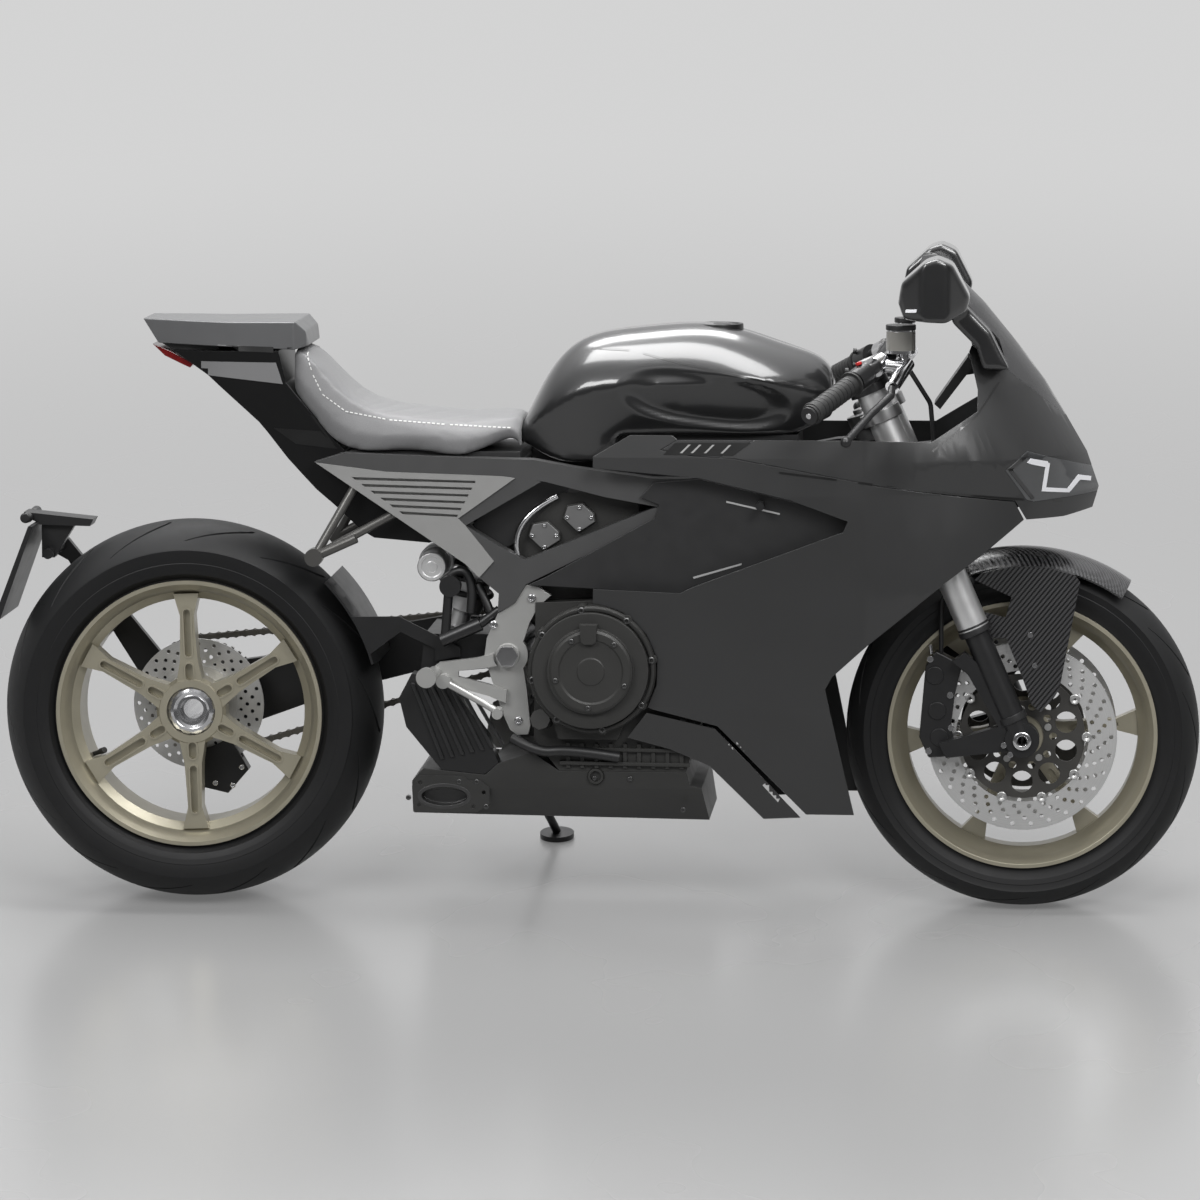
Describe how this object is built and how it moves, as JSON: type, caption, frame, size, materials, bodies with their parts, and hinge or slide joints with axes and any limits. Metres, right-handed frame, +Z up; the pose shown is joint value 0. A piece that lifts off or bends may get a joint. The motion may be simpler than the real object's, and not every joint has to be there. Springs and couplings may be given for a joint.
{
  "type": "sport motorcycle",
  "caption": "Full-fairing sport motorcycle with a solo seat, twin front discs, single-sided rear arm and chain drive, parked leaning on its side stand; wheels roll and the fork steers.",
  "frame": {"origin": "centre of the bounding box in plan, on the ground the tyres and the stand's foot rest on", "axes": "+X forward, +Y to the rider's left, +Z up; the machine leans 11 degrees to its left on the side stand"},
  "size_m": [2.0518, 0.6829, 1.1501],
  "materials": {
    "black_metal": "satin black",
    "black_plastic": "black",
    "bronze": "satin champagne bronze",
    "carbon": "woven carbon, clear coated",
    "charcoal_gloss": "gloss charcoal",
    "charcoal_satin": "satin charcoal",
    "dark_steel": "dark steel",
    "disc_steel": "ground steel",
    "engine_grey": "dark grey casting",
    "fork_silver": "satin silver",
    "grey_panel": "satin grey",
    "leather": "mid-grey with light stitching",
    "lens": "clear lens",
    "red_lens": "red lens",
    "rubber": "soft black",
    "silver_alloy": "machined alloy",
    "smoke_screen": "smoked clear plastic",
    "tail_grey": "satin grey",
    "tyre": "smooth matt black rubber"
  },
  "bodies": {
    "chassis": {"engine": "engine_grey", "engine_covers": "engine_grey", "front_sprocket": "dark_steel", "drive_chain": "dark_steel", "main_frame": "black_metal", "side_panels": "grey_panel", "pivot_plates": "silver_alloy", "swingarm": "black_metal", "rear_caliper": "black_metal", "shock_absorber": "black_metal", "hugger": "carbon", "plate_holder": "black_metal", "exhaust_box": "black_metal", "ribbed_cover": "carbon", "radiator": "black_plastic", "side_fairings": "charcoal_satin", "fairing_strips": "charcoal_gloss", "inner_panels": "black_plastic", "nose_cowl": "charcoal_gloss", "headlight": "lens", "windscreen": "smoke_screen", "fairing_stays": "black_metal", "mirrors": "charcoal_gloss", "fuel_tank": "charcoal_gloss", "airbox": "black_plastic", "tail_top": "tail_grey", "tail_inset": "black_plastic", "tail_body": "charcoal_satin", "tail_lamp": "red_lens", "seat_pan": "black_plastic", "seat": "leather", "footrests": "silver_alloy", "foot_controls": "silver_alloy", "passenger_peg_brackets": "silver_alloy", "rear_master_cylinder": "black_metal"},
    "steering": {"fork_outer_tubes": "fork_silver", "fork_sliders": "black_metal", "fork_clamps": "silver_alloy", "clip_on_bars": "black_metal", "grips": "rubber", "master_cylinders": "silver_alloy", "hand_levers": "black_metal", "front_fender": "carbon", "front_calipers": "black_metal", "brake_hoses": "rubber"},
    "front_wheel": {"front_tyre": "tyre", "front_rim": "bronze", "front_discs": "disc_steel"},
    "rear_wheel": {"rear_tyre": "tyre", "rear_rim": "bronze", "rear_axle": "silver_alloy", "rear_disc": "disc_steel", "rear_sprocket": "dark_steel"},
    "side_stand": {"side_stand": "dark_steel"}
  },
  "joints": [
    {"name": "steering", "type": "hinge", "parent": "chassis", "child": "steering", "pos_m": [0.48986, -0.01863, 0.75149], "axis": [-0.4012, 0.1747, 0.8992], "range_deg": [-23, 23]},
    {"name": "front_wheel_spin", "type": "hinge", "parent": "steering", "child": "front_wheel", "pos_m": [0.72598, -0.10719, 0.29574], "axis": [-0.0002, 0.9816, -0.1908], "continuous": true},
    {"name": "rear_wheel_spin", "type": "hinge", "parent": "chassis", "child": "rear_wheel", "pos_m": [-0.694, -0.10222, 0.32241], "axis": [-0.0002, 0.9816, -0.1908], "continuous": true},
    {"name": "side_stand", "type": "hinge", "parent": "chassis", "child": "side_stand", "pos_m": [-0.17408, 0.05835, 0.22568], "axis": [0.1488, 0.9088, 0.3898], "range_deg": [0, 105]}
  ]
}
